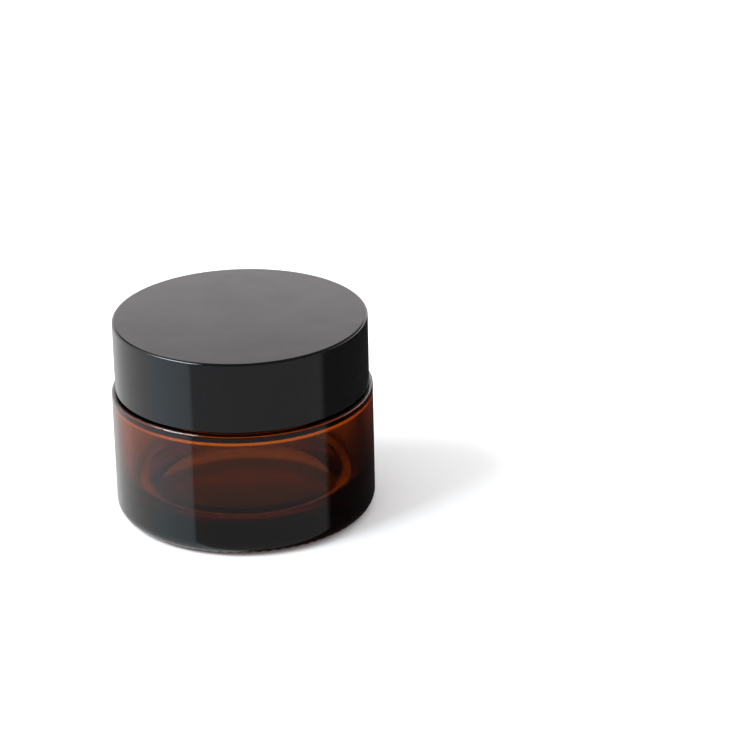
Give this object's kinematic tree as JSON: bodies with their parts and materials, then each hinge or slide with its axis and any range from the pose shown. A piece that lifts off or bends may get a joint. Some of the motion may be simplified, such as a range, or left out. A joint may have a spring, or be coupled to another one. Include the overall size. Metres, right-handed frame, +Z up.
{
  "type": "cosmetic cream jar",
  "caption": "Low round amber glass cream jar with thick walls and a threaded neck, closed by a flush glossy black screw lid with a foam liner.",
  "frame": {"origin": "centre of the base, on the plane the jar stands on", "axes": "+Z up along the common axis of the jar, neck and lid; -Y is the front; the thread's high end is at the back right"},
  "size_m": [0.063, 0.063, 0.0494],
  "materials": {
    "amber_glass": "clear amber container glass, fire-polished",
    "lid_gloss": "high gloss black",
    "insert_plastic": "satin black, as moulded",
    "liner_foam": "white closed-cell foam with a fine skin"
  },
  "bodies": {
    "jar": {"glass_jar": "amber_glass"},
    "liner": {"lid_liner": "liner_foam"},
    "lid": {"lid_cover": "lid_gloss", "lid_insert": "insert_plastic"}
  },
  "joints": [
    {"name": "lid_rise", "type": "slide", "parent": "jar", "child": "liner", "axis": [0, 0, 1], "range_m": [0, 0.0424]},
    {"name": "lid_turn", "type": "hinge", "parent": "liner", "child": "lid", "pos_m": [0, 0, 0.0466], "axis": [0, 0, 1], "range_deg": [0, 3600]}
  ],
  "couplings": [
    {"joint": "lid_rise", "follows": "lid_turn", "m_per_rad": 0.00067376}
  ]
}
